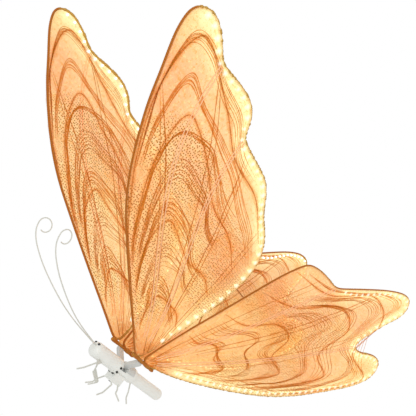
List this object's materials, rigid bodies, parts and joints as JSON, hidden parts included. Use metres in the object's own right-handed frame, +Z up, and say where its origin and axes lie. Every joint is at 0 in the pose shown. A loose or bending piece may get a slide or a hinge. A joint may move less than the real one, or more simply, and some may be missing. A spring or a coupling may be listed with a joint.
{
  "type": "light-up butterfly wing display",
  "caption": "Butterfly with translucent printed cloth wings on wire frames, edge lamps and a slim tube body; both wing pairs flap on geared axles.",
  "frame": {"origin": "on the tail tube's axis, 62 mm behind the middle of the body, on the bare tail where a pole clip grips it", "axes": "+Z up in display pose, +X the butterfly's left, -Y the way the head points; the body tube is pitched 50 degrees head-up, head towards -Y and +Z"},
  "size_m": [0.3598, 0.7395, 0.782],
  "materials": {
    "edge_wrap": "brown-orange cloth tape over steel wire",
    "wing_cloth": "translucent printed peach chiffon",
    "gusset_cloth": "translucent peach chiffon, doubled",
    "rib_wire": "pale pink coated wire",
    "lamp": "clear warm-white lamp",
    "lamp_cable": "clear insulated cable",
    "grey_plastic": "light grey moulded plastic",
    "gear_plastic": "white acetal",
    "steel": "ground steel",
    "brass": "turned brass",
    "motor_steel": "nickel-plated can",
    "white_plastic": "off-white plastic tube",
    "black_bead": "glossy black bead",
    "black_metal": "black oxide screws",
    "wire_grey": "light grey coated wire",
    "button_plastic": "dark soft-touch button",
    "board": "green solder mask",
    "cell_foil": "silver foil pouch"
  },
  "bodies": {
    "body": {"axle_bushes": "brass", "battery_cell": "cell_foil", "body_tube": "white_plastic", "box_lid": "white_plastic", "box_screws": "black_metal", "circuit_board": "board", "drive_motor": "motor_steel", "electronics_box": "white_plastic", "eyes": "black_bead", "front_bearing_plate": "grey_plastic", "gear_cover": "grey_plastic", "head_cap": "white_plastic", "left_antenna": "wire_grey", "left_front_leg": "wire_grey", "left_middle_leg": "wire_grey", "left_rear_leg": "wire_grey", "motor_cradle": "white_plastic", "rear_bearing_plate": "grey_plastic", "right_antenna": "wire_grey", "right_front_leg": "wire_grey", "right_middle_leg": "wire_grey", "right_rear_leg": "wire_grey", "tail_cap": "white_plastic", "tail_tube": "white_plastic"},
    "left_wing": {"left_bridge_wire": "edge_wrap", "left_forewing_cloth": "wing_cloth", "left_forewing_frame": "edge_wrap", "left_forewing_ribs": "rib_wire", "left_hindwing_cloth": "wing_cloth", "left_hindwing_frame": "edge_wrap", "left_hindwing_ribs": "rib_wire", "left_lamp_cables": "lamp_cable", "left_lamps": "lamp", "left_root_bar": "edge_wrap", "left_wing_axle": "steel", "left_wing_bracket": "grey_plastic", "left_wing_gear": "gear_plastic", "left_wing_gusset": "gusset_cloth"},
    "right_wing": {"right_bridge_wire": "edge_wrap", "right_forewing_cloth": "wing_cloth", "right_forewing_frame": "edge_wrap", "right_forewing_ribs": "rib_wire", "right_hindwing_cloth": "wing_cloth", "right_hindwing_frame": "edge_wrap", "right_hindwing_ribs": "rib_wire", "right_lamp_cables": "lamp_cable", "right_lamps": "lamp", "right_root_bar": "edge_wrap", "right_wing_axle": "steel", "right_wing_bracket": "grey_plastic", "right_wing_gear": "gear_plastic", "right_wing_gusset": "gusset_cloth"},
    "pinion": {"drive_pinion": "gear_plastic"},
    "button": {"power_button": "button_plastic"}
  },
  "joints": [
    {"name": "left_flap", "type": "hinge", "parent": "body", "child": "left_wing", "pos_m": [0.0048, -0.0393, 0.05462], "axis": [0, 0.6428, -0.766], "range_deg": [-8, 55]},
    {"name": "right_flap", "type": "hinge", "parent": "body", "child": "right_wing", "pos_m": [-0.0048, -0.0393, 0.05462], "axis": [0, -0.6428, 0.766], "range_deg": [-8, 55]},
    {"name": "pinion_spin", "type": "hinge", "parent": "body", "child": "pinion", "pos_m": [0, -0.04567, 0.04927], "axis": [0, 0.6428, -0.766], "range_deg": [-56, 9]},
    {"name": "power_button_press", "type": "slide", "parent": "body", "child": "button", "axis": [0, 0.766, 0.6428], "range_m": [0, 0.0008]}
  ],
  "couplings": [
    {"joint": "right_flap", "follows": "left_flap", "ratio": 1},
    {"joint": "pinion_spin", "follows": "left_flap", "ratio": -1}
  ]
}
